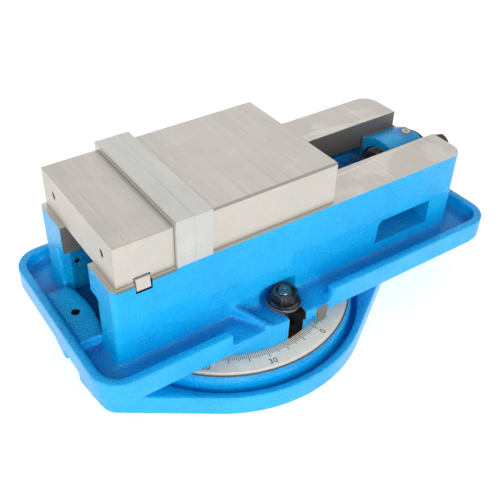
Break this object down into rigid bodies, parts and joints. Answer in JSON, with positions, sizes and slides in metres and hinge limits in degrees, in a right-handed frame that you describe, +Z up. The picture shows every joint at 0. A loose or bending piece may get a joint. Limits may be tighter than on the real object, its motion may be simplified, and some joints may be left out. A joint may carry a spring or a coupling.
{
  "type": "machine vise",
  "caption": "Angle-lock machine vise with ground jaws, a screw-driven moving jaw and a coolant tray, on a graduated swivel base held by clamp bolts.",
  "frame": {"origin": "the swivel axis on the flat underside of the swivel base", "axes": "+X along the clamping screw towards its hexagon end, +Z up along the swivel axis, +Y towards the back wall"},
  "size_m": [0.5211, 0.3166, 0.2044],
  "materials": {
    "blue_paint": "glossy enamel over cast iron",
    "ground_steel": "surface ground",
    "hardened_steel": "hardened and ground",
    "black_oxide": "black oxide, oiled",
    "dark_phosphate": "dark phosphate",
    "polished_steel": "bearing steel, polished",
    "bronze": "turned bronze",
    "oiler_brass": "pale brass"
  },
  "bodies": {
    "base": {"swivel_base": "blue_paint", "pivot_pin": "ground_steel"},
    "body": {"vise_body": "blue_paint", "fixed_jaw": "ground_steel", "fixed_jaw_plate": "hardened_steel", "screw_bush": "bronze", "thrust_race_rear": "polished_steel", "oiler_cup": "oiler_brass", "oiler_ball": "polished_steel", "t_bolt_front": "black_oxide", "t_bolt_back": "black_oxide", "clamp_washer_front": "black_oxide", "clamp_washer_back": "black_oxide", "jaw_key_front": "ground_steel", "jaw_key_back": "ground_steel", "fixed_jaw_screw_front_1": "black_oxide", "fixed_jaw_screw_front_2": "black_oxide", "fixed_jaw_screw_back_1": "black_oxide", "fixed_jaw_screw_back_2": "black_oxide", "fixed_plate_screw_front": "black_oxide", "fixed_plate_screw_back": "black_oxide"},
    "screw": {"lead_screw": "dark_phosphate", "thrust_race_front": "polished_steel", "thrust_ball_cage": "polished_steel", "screw_collar": "dark_phosphate", "collar_set_screw": "black_oxide"},
    "jaw": {"moving_jaw": "ground_steel", "moving_jaw_plate": "hardened_steel", "jaw_nut": "blue_paint", "lock_half_ball": "hardened_steel", "nut_set_screw": "black_oxide", "moving_plate_screw_front": "black_oxide", "moving_plate_screw_back": "black_oxide"},
    "front_nut": {"clamp_nut_front": "black_oxide"},
    "back_nut": {"clamp_nut_back": "black_oxide"}
  },
  "joints": [
    {"name": "swivel", "type": "hinge", "parent": "base", "child": "body", "pos_m": [0, 0, 0], "axis": [0, 0, 1], "continuous": true},
    {"name": "screw_turn", "type": "hinge", "parent": "body", "child": "screw", "pos_m": [0.3246, 0, 0.107], "axis": [1, 0, 0], "range_deg": [0, 9000]},
    {"name": "jaw_slide", "type": "slide", "parent": "body", "child": "jaw", "axis": [1, 0, 0], "range_m": [0, 0.125]},
    {"name": "front_nut_turn", "type": "hinge", "parent": "body", "child": "front_nut", "pos_m": [0.0165, -0.09, 0.067], "axis": [0, 0, 1], "range_deg": [0, 180]},
    {"name": "back_nut_turn", "type": "hinge", "parent": "body", "child": "back_nut", "pos_m": [0.0165, 0.09, 0.067], "axis": [0, 0, 1], "range_deg": [0, 180]}
  ],
  "couplings": [
    {"joint": "screw_turn", "follows": "jaw_slide", "rad_per_m": 1256.6}
  ]
}
